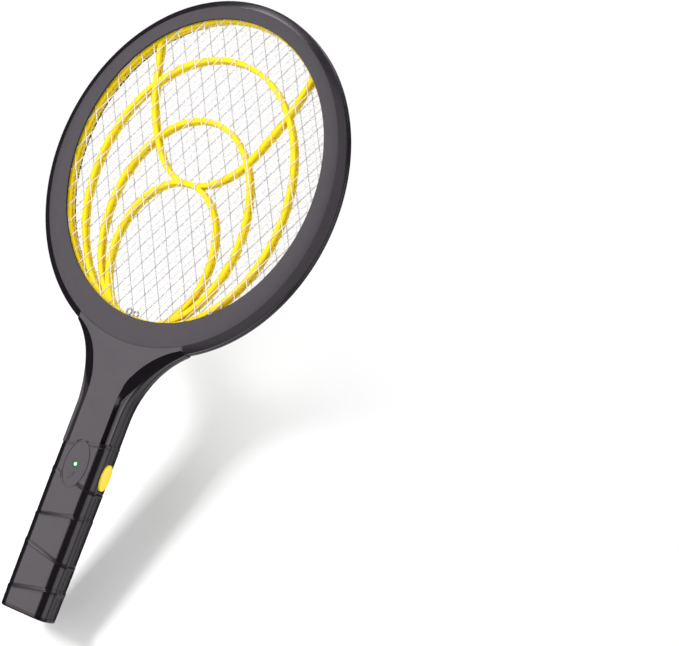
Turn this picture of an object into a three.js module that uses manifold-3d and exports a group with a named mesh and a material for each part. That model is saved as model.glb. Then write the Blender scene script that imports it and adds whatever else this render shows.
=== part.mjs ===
// Electric fly swatter: a racket with three wire nets, held in a black ring, and a handle with two AA cells.
// Millimetres. +Z runs up the handle to the head, the front faces -Y and the button is on the +X side.
// The origin is the middle of the grip, halfway through the handle's thickness.
import * as THREE from "three";
import { mergeGeometries, mergeVertices } from "three/addons/utils/BufferGeometryUtils.js";
import Module from "manifold-3d";

const wasm = await Module();
wasm.setup();

// ---- Head ----
const HEAD_Z = 253; // centre of the opening
const OPENING = { a: 94.3, b: 105.6, z: HEAD_Z }; // half width and half height
const RING = { a: 111, b: 123.4, z: HEAD_Z - 4 }; // outer edge, lower than the opening
const RING_FRONT = 6.3; // half of the ring's thickness
const RING_CHAMFER = { wide: 5, deep: 2.8 };
const RING_WALL = 2;
const RING_LIP = 1.6;
const RING_STEPS = 48;
const HALF_GAP = 0.1; // each half stops this far from the middle plane
const RIM = { inside: 1, outside: 4, near: 0.3, far: 3.4 }; // yellow rim, measured from the opening's edge
const RIB_WIDTH = 3.4;
const RIB_STEPS = 24;
const NET_Y = 3.9; // middle of the front and rear nets
const NET_HALF = 0.2;
const NET_STEPS = 32;
const NET_EDGE = 2.4; // how far a net reaches under the ring
const NET_WIRE = 1.1;
const OUTER_CELL = { x: 11.3, z: 19.6 }; // half the length of a diamond's two diagonals
const CENTRE_CELL = { x: 34.5, z: 22.4 };
const TERMINAL = { x: -7, z: 150.4, r: 2.5, hole: 1.3, strap: 2, foot: 140 };
const TERMINAL_Y = { near: 4.25, far: 4.55 };

// ---- Handle ----
const END_Z = -58;
const NECK_TOP = 143;
const GRIP = { z: 60, width: 18.9, depth: 10.6 }; // half sizes below this height
const NECK = { width: 18.3, depth: 9.9, flat: 11.6, side: 3.4 };
const FLARE = { start: 81, radius: 69, most: 44.3 }; // outline of the neck
const PLATE_FLARE = { start: 90, radius: 51, most: 41.7 }; // edge of its flat face
const SHOULDER = { from: 118, to: 131 }; // where the neck thins to the ring
const WALL = 1.8;
const CORNER_STEPS = 3;
const RING_CLEARANCE = 0.25;

// ---- Battery bay ----
const CELL = { r: 7.1, x: 7.6, y: -0.4, body: 48.9, nub: 1.4, nub_r: 2.75 };
const CONTACT = { thick: 0.5, bottom: -55.7, top: -0.7 };
const SPRING = { wire: 0.4, wide: 4.4, narrow: 3, turns: 3, height: 3 };
const DOOR = { y: 3.6, top: 2, gap: 0.25 };
const BULKHEAD = { z: 0.4, thick: 1.6, rear_z: 5.6 };

// ---- Electronics ----
const BOARD = { x: 12.5, front: 1, back: 2.6, low: 20, high: 92 };
const ON_BOARD = BOARD.front - 0.2; // where the parts on the board's front end
const LED = { z: 44.4, r: 1.5, flange: 1.95 };
const BUTTON = { z: 42.3, long: 18, wide: 10, proud: 1.5, flange: 1.5, flange_thick: 1.2 };
const SWITCH = { low: 5, high: 12.3, y: -1.7, plunger: 1.5, tip: 15.2 };
const LEAD_R = 0.7;

// ---- Screws ----
const SCREW = { r: 1.05, hole: 1.3, head: 2.2, sink: 2.5, head_thick: 1.6, boss: 3.2 };
const RING_SCREW_ANGLES = [22, 68, 112, 158, 213, 327];
const RING_SCREW_IN = 7.4; // from the opening's edge
const HANDLE_SCREWS = [
  [10, 14],
  [-10, 14],
  [10, 98],
  [-10, 98],
];

// ---- Materials ----
const plastic = (color, roughness) => new THREE.MeshStandardMaterial({ color, roughness, metalness: 0 });
const metal = (color, roughness) => new THREE.MeshStandardMaterial({ color, roughness, metalness: 1 });
const BLACK = plastic(0x1e1c20, 0.35);
const YELLOW = plastic(0xffd400, 0.45);
const STEEL = metal(0xc9cbd0, 0.3);
const GREEN_LENS = plastic(0x2fd24a, 0.15);
const BOARD_GREEN = plastic(0x1f6b3a, 0.5);
const COMPONENT = plastic(0x2a2a2c, 0.5);
const CELL_SLEEVE = plastic(0x3a4c8c, 0.4);
const RED_WIRE = plastic(0xb02020, 0.5);
const BLACK_WIRE = plastic(0x151515, 0.5);
const TAN = plastic(0xc79a5b, 0.6);

// ---- Solids ----
const root = new THREE.Group();

function solid(geometry) {
  const bare = geometry.index ? geometry.toNonIndexed() : geometry.clone();
  bare.deleteAttribute("normal");
  bare.deleteAttribute("uv");
  const merged = mergeVertices(bare, 1e-4);
  const vertProperties = merged.attributes.position.array;
  const triVerts = new Uint32Array(merged.index.array);
  const made = new wasm.Manifold(new wasm.Mesh({ numProp: 3, vertProperties, triVerts }));
  if (made.volume() > 0) return made;
  // Reversing the whole list turns every face the other way round.
  return new wasm.Manifold(new wasm.Mesh({ numProp: 3, vertProperties, triVerts: triVerts.reverse() }));
}

function addMesh(name, shape, material) {
  const { vertProperties, triVerts } = shape.getMesh();
  const geometry = new THREE.BufferGeometry();
  geometry.setAttribute("position", new THREE.BufferAttribute(vertProperties, 3));
  geometry.setIndex(new THREE.BufferAttribute(triVerts, 1));
  geometry.computeVertexNormals();
  const mesh = new THREE.Mesh(geometry, material);
  mesh.name = name;
  root.add(mesh);
  return mesh;
}

const joined = (shapes) => shapes.reduce((all, next) => all.add(next));
const cutBy = (shape, cutters) => cutters.reduce((left, cutter) => left.subtract(cutter), shape);
const mirroredY = (shape) => shape.mirror([0, 1, 0]);

// A box from its lowest to its highest corner.
function box(x0, x1, y0, y1, z0, z1) {
  const g = new THREE.BoxGeometry(x1 - x0, y1 - y0, z1 - z0);
  return solid(g.translate((x0 + x1) / 2, (y0 + y1) / 2, (z0 + z1) / 2));
}

// Cylinders along each axis, from one end to the other.
function cylinderY(r, x, z, y0, y1, sides = 12) {
  const g = new THREE.CylinderGeometry(r, r, y1 - y0, sides);
  return solid(g.translate(x, (y0 + y1) / 2, z));
}

function cylinderZ(r, x, y, z0, z1, sides = 16) {
  const g = new THREE.CylinderGeometry(r, r, z1 - z0, sides).rotateX(Math.PI / 2);
  return solid(g.translate(x, y, (z0 + z1) / 2));
}

function cylinderX(r, y, z, x0, x1, sides = 10) {
  const g = new THREE.CylinderGeometry(r, r, x1 - x0, sides).rotateZ(Math.PI / 2);
  return solid(g.translate((x0 + x1) / 2, y, z));
}

// Rings of points joined by faces and closed at both ends.
function loft(sections) {
  const n = sections[0].length;
  const points = sections.flat();
  const ends = [sections[0], sections.at(-1)].map((ring) =>
    ring.reduce((sum, p) => sum.add(p), new THREE.Vector3()).divideScalar(n),
  );
  const index = [];
  for (let s = 0; s + 1 < sections.length; s++)
    for (let i = 0; i < n; i++) {
      const j = (i + 1) % n;
      const [p, q, r, t] = [s * n + i, s * n + j, (s + 1) * n + j, (s + 1) * n + i];
      index.push(p, q, r, p, r, t);
    }
  const last = (sections.length - 1) * n;
  for (let i = 0; i < n; i++) {
    const j = (i + 1) % n;
    index.push(points.length, j, i);
    index.push(points.length + 1, last + i, last + j);
  }
  const g = new THREE.BufferGeometry().setFromPoints([...points, ...ends]);
  g.setIndex(index);
  return solid(g);
}

// ---- Head: rings, frames and nets ----
const onEllipse = (e, angle, grow = 0) =>
  new THREE.Vector2((e.a + grow) * Math.cos(angle), e.z + (e.b + grow) * Math.sin(angle));

// A point of the head's cross-section: a distance from the opening's edge, or in from the ring's outer edge.
function headPoint(angle, { from, offset, y }) {
  const inner = onEllipse(OPENING, angle);
  const outer = onEllipse(RING, angle);
  const out = outer.clone().sub(inner).normalize();
  const p = (from === "inner" ? inner : outer).addScaledVector(out, from === "inner" ? offset : -offset);
  return new THREE.Vector3(p.x, y, p.y);
}

// Turns a closed cross-section round the head.
function headRing(profile, steps = RING_STEPS) {
  const points = [];
  const index = [];
  const n = profile.length;
  for (let s = 0; s < steps; s++) {
    const angle = (s / steps) * 2 * Math.PI;
    for (const p of profile) points.push(headPoint(angle, p));
    for (let i = 0; i < n; i++) {
      const [a, b] = [s * n + i, s * n + ((i + 1) % n)];
      const next = ((s + 1) % steps) * n;
      const [c, d] = [next + ((i + 1) % n), next + i];
      index.push(a, c, b, a, d, c);
    }
  }
  const g = new THREE.BufferGeometry().setFromPoints(points);
  g.setIndex(index);
  return solid(g);
}

function ellipsePlate(e, grow, y0, y1, steps = RING_STEPS) {
  const ring = (y) =>
    Array.from({ length: steps }, (_, s) => {
      const p = onEllipse(e, (s / steps) * 2 * Math.PI, grow);
      return new THREE.Vector3(p.x, y, p.y);
    });
  return loft([ring(y1), ring(y0)]);
}

const ringScrewSpots = RING_SCREW_ANGLES.map((degrees) =>
  headPoint(THREE.MathUtils.degToRad(degrees), { from: "inner", offset: RING_SCREW_IN, y: 0 }),
);

// The front half of the ring, without its screw holes. The rear half is its mirror image.
function halfRing() {
  const lip = RING_FRONT - RING_LIP;
  const shell = headRing([
    { from: "inner", offset: 0, y: -RING_FRONT },
    { from: "outer", offset: RING_CHAMFER.wide, y: -RING_FRONT },
    { from: "outer", offset: 0, y: -RING_FRONT + RING_CHAMFER.deep },
    { from: "outer", offset: 0, y: -HALF_GAP },
    { from: "outer", offset: RING_WALL, y: -HALF_GAP },
    { from: "outer", offset: RING_WALL, y: -RING_FRONT + RING_CHAMFER.deep + 0.6 },
    { from: "outer", offset: RING_CHAMFER.wide + 0.6, y: -lip },
    { from: "inner", offset: 0, y: -lip },
  ]);
  const bosses = ringScrewSpots.map((p) => cylinderY(SCREW.boss - 0.3, p.x, p.z, -lip - 0.4, -HALF_GAP));
  const bottom = RING.z - RING.b;
  const tongue = box(-16, 16, -3.4, -HALF_GAP, bottom - 9, bottom + RING_WALL / 2);
  const leadSlot = box(-5, 5, -2.5, 1, bottom - 10, bottom + RING_WALL + 2);
  return joined([shell, ...bosses, tongue]).subtract(leadSlot);
}

const pilotHoles = ringScrewSpots.map((p) => cylinderY(SCREW.hole, p.x, p.z, -3.6, 1));
const sunkHoles = ringScrewSpots.flatMap((p) => [
  cylinderY(SCREW.hole, p.x, p.z, -1, 5),
  cylinderY(SCREW.sink, p.x, p.z, RING_FRONT - 2.1, RING_FRONT + 1),
]);
addMesh("front_ring", cutBy(halfRing(), pilotHoles), BLACK);
addMesh("rear_ring", cutBy(mirroredY(halfRing()), sunkHoles), BLACK);

// A flat rib that follows a curve in X and Z.
function rib(curve, steps, closed) {
  const sections = [];
  for (let s = 0; s <= steps; s++) {
    const u = s / steps;
    const p = curve.getPoint(u);
    const t = curve.getTangent(u);
    const side = new THREE.Vector2(-t.y, t.x).multiplyScalar(RIB_WIDTH / 2);
    const corner = (w, y) => new THREE.Vector3(p.x + w * side.x, y, p.y + w * side.y);
    sections.push([corner(-1, -RIM.far), corner(1, -RIM.far), corner(1, -RIM.near), corner(-1, -RIM.near)]);
  }
  if (!closed) return loft(sections);
  const half = Math.ceil(steps / 2);
  return loft(sections.slice(0, half + 1)).add(loft(sections.slice(half)));
}

// Ribs of the yellow frame: three nested ovals that meet near the handle, and a U that hangs from the top.
const oval = (x, z, a, b) => new THREE.EllipseCurve(x, z, a, b, 0, 2 * Math.PI);
const OVALS = [
  oval(0, HEAD_Z - 15, 75.5, 93),
  oval(-1, HEAD_Z - 37, 52.5, 71.5),
  oval(-1.5, HEAD_Z - 60, 38, 50.5),
];
const U_RIB = new THREE.SplineCurve(
  [
    [-64, 84],
    [-54.8, 51],
    [-46, 28.8],
    [-34.6, 10.6],
    [-21.4, -3.6],
    [-7.8, -9.1],
    [6.2, -9.1],
    [21, -2.2],
    [35, 12.5],
    [45, 33.5],
    [52.8, 53],
    [61, 84],
  ].map(([x, z]) => new THREE.Vector2(x, HEAD_Z + z)),
);

function halfFrame() {
  const rim = headRing([
    { from: "inner", offset: -RIM.inside, y: -RIM.far },
    { from: "inner", offset: RIM.outside, y: -RIM.far },
    { from: "inner", offset: RIM.outside, y: -RIM.near },
    { from: "inner", offset: -RIM.inside, y: -RIM.near },
  ]);
  const inside = ellipsePlate(OPENING, RIM.outside / 2, -RIM.far - 1, 0);
  const ribs = [...OVALS.map((curve) => rib(curve, RIB_STEPS, true)), rib(U_RIB, 14, false)];
  return rim.add(joined(ribs).intersect(inside));
}

addMesh("front_inner_frame", halfFrame(), YELLOW);
addMesh("rear_inner_frame", mirroredY(halfFrame()), YELLOW);

// A net is a thin sheet cut into diamonds, each larger than the woven cells it stands for.
function net(halfX, halfZ, wire, y) {
  const shrink = (wire / 2) * Math.hypot(halfX, halfZ);
  const [hx, hz] = [halfX - shrink / halfZ, halfZ - shrink / halfX];
  const cells = [];
  const columns = Math.ceil(OPENING.a / halfX) + 1;
  const rows = Math.ceil(OPENING.b / halfZ) + 1;
  for (let i = -columns; i <= columns; i++)
    for (let k = -rows; k <= rows; k++) {
      if ((i + k) % 2) continue;
      const g = new THREE.CylinderGeometry(1, 1, 4, 4);
      cells.push(g.scale(hx, 1, hz).translate(i * halfX, y, HEAD_Z + k * halfZ));
    }
  const bare = cells.map((g) => g.toNonIndexed());
  const holes = solid(mergeGeometries(bare)).intersect(ellipsePlate(OPENING, -1.6, y - 1, y + 1, NET_STEPS));
  return ellipsePlate(OPENING, NET_EDGE, y - NET_HALF, y + NET_HALF, NET_STEPS).subtract(holes);
}

const outerNet = (y) => net(OUTER_CELL.x, OUTER_CELL.z, NET_WIRE, y);
const tab = box(5.5, 8.5, -NET_HALF, NET_HALF, 138, OPENING.z - OPENING.b);
addMesh("front_net", outerNet(-NET_Y), STEEL);
addMesh("centre_net", net(CENTRE_CELL.x, CENTRE_CELL.z, NET_WIRE, 0).add(tab), STEEL);
addMesh("rear_net", outerNet(NET_Y), STEEL);

// The eyelet terminal that carries the charge to an outer net.
function terminal() {
  const { x, z, r, hole, strap, foot } = TERMINAL;
  const eyelet = cylinderY(r, x, z, -TERMINAL_Y.far, -TERMINAL_Y.near, 16);
  const leg = box(x - strap / 2, x + strap / 2, -TERMINAL_Y.far, -TERMINAL_Y.near, foot, z - hole - 0.4);
  return eyelet.add(leg).subtract(cylinderY(hole, x, z, -TERMINAL_Y.far - 1, -TERMINAL_Y.near + 1, 12));
}

addMesh("front_net_terminal", terminal(), STEEL);
addMesh("rear_net_terminal", mirroredY(terminal()), STEEL);

// ---- Handle shells ----
const smooth = (z, from, to) => THREE.MathUtils.smoothstep(z, from, to);

// The outline's arc, which leaves the straight neck and stops at its widest.
function flared(start, { start: z0, radius, most }, z) {
  const rise = Math.min(Math.max(z - z0, 0), radius);
  return Math.min(start + radius - Math.sqrt(radius * radius - rise * rise), most);
}

function handleSection(z, wall) {
  const grip = z <= GRIP.z;
  const width = (grip ? GRIP.width : flared(NECK.width, FLARE, z)) - wall;
  const flat = flared(NECK.flat, PLATE_FLARE, z) - wall * 0.4;
  const shoulder = smooth(z, SHOULDER.from, SHOULDER.to);
  const full = grip ? GRIP.depth : THREE.MathUtils.lerp(NECK.depth, RING_FRONT, shoulder);
  const depth = full - wall;
  const quarter = [];
  for (let s = 0; s <= CORNER_STEPS; s++) {
    const angle = (s / CORNER_STEPS) * (Math.PI / 2);
    quarter.push([
      flat + (width - flat) * Math.cos(angle),
      NECK.side + (depth - NECK.side) * Math.sin(angle),
    ]);
  }
  const back = [...quarter].reverse();
  const around = [
    ...quarter,
    ...back.map(([x, y]) => [-x, y]),
    ...quarter.map(([x, y]) => [-x, -y]),
    ...back.map(([x, y]) => [x, -y]),
  ];
  return around.map(([x, y]) => new THREE.Vector3(x, y, z));
}

const NECK_STATIONS = [GRIP.z, GRIP.z + 1.5, 81, 92, 99, 106, 112, 118, 122, 126, 131, 137];
const handleLoft = (low, high, wall) =>
  loft([low, ...NECK_STATIONS, high].map((z) => handleSection(z, wall)));

const outside = handleLoft(END_Z, NECK_TOP, 0);
const hollow = handleLoft(END_Z + WALL, NECK_TOP + 4, WALL);

// The space that the ring takes, with a little clearance all round.
function ringSpace() {
  const flank = RING_FRONT - RING_CHAMFER.deep + RING_CLEARANCE;
  const out = RING_CLEARANCE;
  const faceOut = RING_CLEARANCE - RING_CHAMFER.wide;
  const layer = (grow, y) =>
    Array.from({ length: RING_STEPS }, (_, s) => {
      const p = onEllipse(RING, (s / RING_STEPS) * 2 * Math.PI, grow);
      return new THREE.Vector3(p.x, y, p.y);
    });
  const face = RING_FRONT + RING_CLEARANCE;
  return loft([
    layer(faceOut, face + 4),
    layer(faceOut, face),
    layer(out, flank),
    layer(out, -flank),
    layer(faceOut, -face),
    layer(faceOut, -face - 4),
  ]);
}

function stadium(long, wide, x0, x1) {
  const r = wide / 2;
  const straight = (long - wide) / 2;
  const ends = [-1, 1].map((k) => cylinderX(r, 0, BUTTON.z + k * straight, x0, x1, 20));
  return joined([...ends, box(x0, x1, -r, r, BUTTON.z - straight, BUTTON.z + straight)]);
}

const shellHollow = outside.subtract(hollow).subtract(ringSpace());
const buttonHole = stadium(BUTTON.long + 0.6, BUTTON.wide + 0.6, 12, 25);
const frontSide = box(-60, 60, -20, -HALF_GAP, END_Z - 5, NECK_TOP + 5);
const rearSide = box(-60, 60, HALF_GAP, 20, END_Z - 5, NECK_TOP + 5);
const gripInside = { x: GRIP.width - WALL, y: GRIP.depth - WALL };

function frontShell() {
  const bulkhead = box(-gripInside.x - 0.4, gripInside.x + 0.4, -gripInside.y - 0.4, -HALF_GAP,
    BULKHEAD.z, BULKHEAD.z + BULKHEAD.thick);
  const notches = [-1, 1].map((k) => box(11 * k - 1.6, 11 * k + 1.6, -9, -5, 0, 3));
  const bosses = HANDLE_SCREWS.map(([x, z]) =>
    cylinderY(SCREW.boss - 0.3, x, z, -GRIP.depth + WALL, -HALF_GAP));
  const pilots = HANDLE_SCREWS.map(([x, z]) => cylinderY(SCREW.hole, x, z, -6.5, 1));
  const ledHole = cylinderY(LED.r + 0.2, 0, LED.z, -14, -5);
  const skin = shellHollow.intersect(frontSide).subtract(buttonHole).subtract(ledHole);
  const inner = joined([cutBy(bulkhead, notches), ...bosses]).intersect(outside);
  return cutBy(skin.add(inner), pilots);
}

function rearShell() {
  const wallUp = box(-gripInside.x - 0.4, gripInside.x + 0.4, HALF_GAP, gripInside.y + 0.4,
    BULKHEAD.rear_z, BULKHEAD.rear_z + BULKHEAD.thick);
  const supports = [24, 86].map((z) =>
    box(-gripInside.x, gripInside.x, BOARD.back + 0.3, gripInside.y + 0.4, z, z + 1.5));
  const bosses = HANDLE_SCREWS.map(([x, z]) => cylinderY(SCREW.boss, x, z, HALF_GAP, GRIP.depth - WALL));
  const sinks = HANDLE_SCREWS.flatMap(([x, z]) => [
    cylinderY(SCREW.hole, x, z, -1, 8),
    cylinderY(SCREW.sink, x, z, 6.5, 12),
  ]);
  const doorway = box(-30, 30, DOOR.y - DOOR.gap, 20, END_Z - 5, DOOR.top + DOOR.gap);
  const railWays = [-1, 1].map((k) => box(16.3 * k - 1.1, 16.3 * k + 1.1, 1.9, 5, END_Z - 1, END_Z + 3));
  const skin = shellHollow.intersect(rearSide).subtract(buttonHole);
  const inner = joined([wallUp, ...supports, ...bosses]).intersect(outside);
  return cutBy(skin.add(inner), [...sinks, doorway, ...railWays]);
}

// The sliding battery door is the lower back of the handle, with rails and a catch inside.
function batteryDoor() {
  const part = outside.subtract(hollow).intersect(box(-30, 30, DOOR.y, 20, END_Z - 5, DOOR.top));
  const rails = [-1, 1].flatMap((k) => [
    box(16.5 * k - 0.9, 16.5 * k + 0.9, DOOR.y + 0.1, DOOR.y + 1, -54, -2),
    box(16.2 * k - 0.6, 16.2 * k + 0.6, 2.2, DOOR.y + 0.3, -54, -2),
  ]);
  const catchTab = box(-6, 6, 7.7, 8.5, DOOR.top - 3, DOOR.top + 3);
  const catchRoot = box(-6, 6, 7.7, 9, DOOR.top - 3, DOOR.top - 0.5);
  return joined([part, ...rails, catchTab, catchRoot]);
}

addMesh("front_handle_shell", frontShell(), BLACK);
addMesh("rear_handle_shell", rearShell(), BLACK);
addMesh("battery_door", batteryDoor(), BLACK);

// ---- Power button and its switch ----
const buttonOut = GRIP.width + BUTTON.proud;
const flangeOut = GRIP.width - WALL - 0.3;
const flange = stadium(BUTTON.long + 2 * BUTTON.flange, BUTTON.wide + 2 * BUTTON.flange,
  flangeOut - BUTTON.flange_thick, flangeOut);
const flangeTrim = box(0, 30, -4.5, 4.5, 0, 100);
const buttonCap = stadium(BUTTON.long, BUTTON.wide, flangeOut - 0.5, buttonOut);
addMesh("power_button", buttonCap.add(flange.intersect(flangeTrim)), YELLOW);

const switchBody = box(SWITCH.low, SWITCH.high, SWITCH.y - 2.4, ON_BOARD, BUTTON.z - 4.2, BUTTON.z + 4.2);
const plungerWay = box(SWITCH.high - 4.6, SWITCH.high + 1, SWITCH.y - SWITCH.plunger - 0.2,
  SWITCH.y + SWITCH.plunger + 0.2, BUTTON.z - SWITCH.plunger - 0.2, BUTTON.z + SWITCH.plunger + 0.2);
addMesh("push_switch_body", switchBody.subtract(plungerWay), COMPONENT);
const plunger = box(SWITCH.high - 2.8, SWITCH.tip, SWITCH.y - SWITCH.plunger, SWITCH.y + SWITCH.plunger,
  BUTTON.z - SWITCH.plunger, BUTTON.z + SWITCH.plunger);
addMesh("push_switch_plunger", plunger, TAN);

// ---- Circuit board and its parts ----
addMesh("circuit_board", box(-BOARD.x, BOARD.x, BOARD.front, BOARD.back, BOARD.low, BOARD.high), BOARD_GREEN);

function led() {
  const tip = new THREE.SphereGeometry(LED.r, 12, 8, 0, 2 * Math.PI, 0, Math.PI);
  const dome = solid(tip.translate(0, -GRIP.depth + 0.6, LED.z));
  const body = cylinderY(LED.r, 0, LED.z, -GRIP.depth + 0.6, -7.8);
  const base = cylinderY(LED.flange, 0, LED.z, -gripInside.y + 0.3, -7.7);
  const legs = [-1, 1].map((k) =>
    box(1.27 * k - 0.3, 1.27 * k + 0.3, -7.9, ON_BOARD, LED.z - 0.3, LED.z + 0.3));
  return joined([dome, body, base, ...legs]);
}
addMesh("indicator_led", led(), GREEN_LENS);

const core = box(-7, 7, -6.8, ON_BOARD - 1, 66, 80);
const coreWindow = joined([box(-4.6, -2.6, -8, 1, 68, 78), box(2.6, 4.6, -8, 1, 68, 78)]);
addMesh("transformer_core", core.subtract(coreWindow), COMPONENT);
addMesh("high_voltage_capacitor", box(-9, 7, -6.6, ON_BOARD, 54, 60), TAN);

// A part with a round body and a straight lead at each end.
function axialPart(r, x, z0, z1) {
  const y = ON_BOARD - r - 0.1;
  return cylinderZ(r, x, y, z0 + 1.6, z1 - 1.6, 10).add(cylinderZ(0.35, x, y, z0, z1, 6));
}
[-9, 0, 9].forEach((x, i) => addMesh(`rectifier_diode_${i + 1}`, axialPart(1.25, x, 82, 90), COMPONENT));
addMesh("led_resistor", axialPart(1.1, -9, 26, 35), TAN);
addMesh("discharge_resistor", axialPart(1.1, -5.5, 26, 35), TAN);

const transistorRound = cylinderY(2.4, -9, 48, -5.2, ON_BOARD - 1.6, 14);
addMesh("transistor", transistorRound.intersect(box(-12, -6, -6, 1, 45, 49.2)), COMPONENT);

// ---- Battery bay ----
function cell(x, low, up) {
  const [bodyLow, nubLow] = up ? [low, low + CELL.body - 0.1] : [low + CELL.nub, low];
  const body = cylinderZ(CELL.r, x, CELL.y, bodyLow, bodyLow + CELL.body, 24);
  return body.add(cylinderZ(CELL.nub_r, x, CELL.y, nubLow, nubLow + CELL.nub + 0.1, 12));
}
addMesh("aa_cell_right", cell(CELL.x, -51.2, true), CELL_SLEEVE);
addMesh("aa_cell_left", cell(-CELL.x, -55, false), CELL_SLEEVE);

const bridge = box(-13.5, 13.5, -6, 2.8, CONTACT.bottom, CONTACT.bottom + CONTACT.thick);
addMesh("bridge_contact", bridge, STEEL);
function topContact(side) {
  const [near, far] = [3, 12.6];
  const wide = side > 0 ? [near, far] : [-far, -near];
  const tail = side > 0 ? [10, 12] : [-12, -10];
  const low = CONTACT.top;
  return joined([
    box(...wide, -5, 4.5, low, low + CONTACT.thick),
    box(...tail, -8.3, -4.9, low, low + CONTACT.thick),
    box(...tail, -8.3, -7.9, low, 4),
  ]);
}
addMesh("positive_contact", topContact(1), STEEL);
addMesh("negative_contact", topContact(-1), STEEL);

// A conical spring, wide at the contact and narrow at the cell.
class ConeHelix extends THREE.Curve {
  constructor(x, y, z, rise) {
    super();
    Object.assign(this, { x, y, z, rise });
  }
  getPoint(t, target = new THREE.Vector3()) {
    const angle = t * SPRING.turns * 2 * Math.PI;
    const r = THREE.MathUtils.lerp(SPRING.wide, SPRING.narrow, t);
    return target.set(this.x + r * Math.cos(angle), this.y + r * Math.sin(angle), this.z + this.rise * t);
  }
}

function roundSection(r, sides) {
  const points = Array.from({ length: sides }, (_, i) => {
    const angle = (i / sides) * 2 * Math.PI;
    return new THREE.Vector2(r * Math.cos(angle), r * Math.sin(angle));
  });
  return new THREE.Shape(points);
}

function tube(curve, r, sides, steps) {
  const sweep = { steps, extrudePath: curve, bevelEnabled: false };
  return solid(new THREE.ExtrudeGeometry(roundSection(r, sides), sweep));
}
const springUp = new ConeHelix(CELL.x, CELL.y, CONTACT.bottom + CONTACT.thick + 0.5, SPRING.height);
const springDown = new ConeHelix(-CELL.x, CELL.y, CONTACT.top - 0.5, -SPRING.height);
addMesh("bottom_cell_spring", tube(springUp, SPRING.wire, 5, 30), STEEL);
addMesh("top_cell_spring", tube(springDown, SPRING.wire, 5, 30), STEEL);

// ---- Leads ----
function lead(name, points, material) {
  const curve = new THREE.CatmullRomCurve3(points.map((p) => new THREE.Vector3(...p)));
  addMesh(name, tube(curve, LEAD_R, 8, 14), material);
}
const batteryLead = (k) => [
  [11 * k, -7, 2.6],
  [10.2 * k, -6.9, 4.6],
  [6 * k, -6, 7.6],
  [4 * k, -4.2, 12],
  [4 * k, -1.4, 17],
  [4 * k, -0.2, 21],
  [4 * k, -0.2, 23.6],
];
lead("positive_lead", batteryLead(1), RED_WIRE);
lead("negative_lead", batteryLead(-1), BLACK_WIRE);
lead("outer_net_lead", [
  [-4.5, -0.2, 87],
  [-4.5, -0.4, 96],
  [-3, -0.8, 110],
  [-2.6, -1, 122],
  [-3, -1, 129],
  [-5.6, -2.4, 135],
  [-7, -3.1, 139.5],
], RED_WIRE);
lead("centre_net_lead", [
  [4.5, -0.2, 87],
  [4.5, -0.4, 96],
  [3, -0.8, 110],
  [2.6, -1, 122],
  [3, -1.1, 129],
  [5.6, -1.3, 135],
  [7, -1.3, 139.5],
], BLACK_WIRE);

// ---- Screws, driven from the back ----
function screw(x, z, headTop, tip) {
  const headLow = headTop - SCREW.head_thick;
  const cross = [box(x - 1.2, x + 1.2, headTop - 0.7, headTop + 1, z - 0.25, z + 0.25),
    box(x - 0.25, x + 0.25, headTop - 0.7, headTop + 1, z - 1.2, z + 1.2)];
  const head = cylinderY(SCREW.head, x, z, headLow, headTop);
  return cutBy(head.add(cylinderY(SCREW.r, x, z, tip, headLow + 0.1, 8)), cross);
}
ringScrewSpots.forEach((p, i) =>
  addMesh(`ring_screw_${i + 1}`, screw(p.x, p.z, RING_FRONT - 0.3, -3.3), STEEL),
);
HANDLE_SCREWS.forEach(([x, z], i) => addMesh(`handle_screw_${i + 1}`, screw(x, z, 8.3, -6.2), STEEL));

export default root;
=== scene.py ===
"""Looks of an electric fly swatter: a black ring, three wire nets, a yellow frame and a handle."""
import math

import bmesh
import bpy
import numpy as np
from mathutils import Matrix, Vector


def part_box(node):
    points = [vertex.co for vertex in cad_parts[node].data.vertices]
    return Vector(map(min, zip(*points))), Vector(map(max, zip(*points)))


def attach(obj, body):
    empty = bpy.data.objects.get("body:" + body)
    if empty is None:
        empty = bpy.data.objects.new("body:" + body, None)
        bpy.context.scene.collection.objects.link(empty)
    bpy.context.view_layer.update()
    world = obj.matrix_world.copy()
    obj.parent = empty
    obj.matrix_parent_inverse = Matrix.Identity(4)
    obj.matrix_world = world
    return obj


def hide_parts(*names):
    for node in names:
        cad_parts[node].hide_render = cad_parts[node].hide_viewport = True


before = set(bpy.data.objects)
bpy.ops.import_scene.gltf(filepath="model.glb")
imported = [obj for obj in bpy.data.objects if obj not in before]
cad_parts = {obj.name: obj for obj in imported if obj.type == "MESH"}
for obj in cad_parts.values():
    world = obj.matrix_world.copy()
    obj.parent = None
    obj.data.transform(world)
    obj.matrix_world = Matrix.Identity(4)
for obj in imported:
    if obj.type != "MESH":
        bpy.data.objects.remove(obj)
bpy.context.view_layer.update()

MM = 0.001
BODY = "swatter"

# ---- Sizes in millimetres, taken from the frame where a node's box gives them ----


def box_mm(node):
    low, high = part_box(node)
    return np.array(low) / MM, np.array(high) / MM


RING_HIGH = box_mm("rear_ring")[1]
END_Z = box_mm("front_handle_shell")[0][2]
BUTTON_LOW, BUTTON_HIGH = box_mm("power_button")
LED_LOW, LED_HIGH = box_mm("indicator_led")
DOOR_LOW, DOOR_HIGH = box_mm("battery_door")

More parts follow.
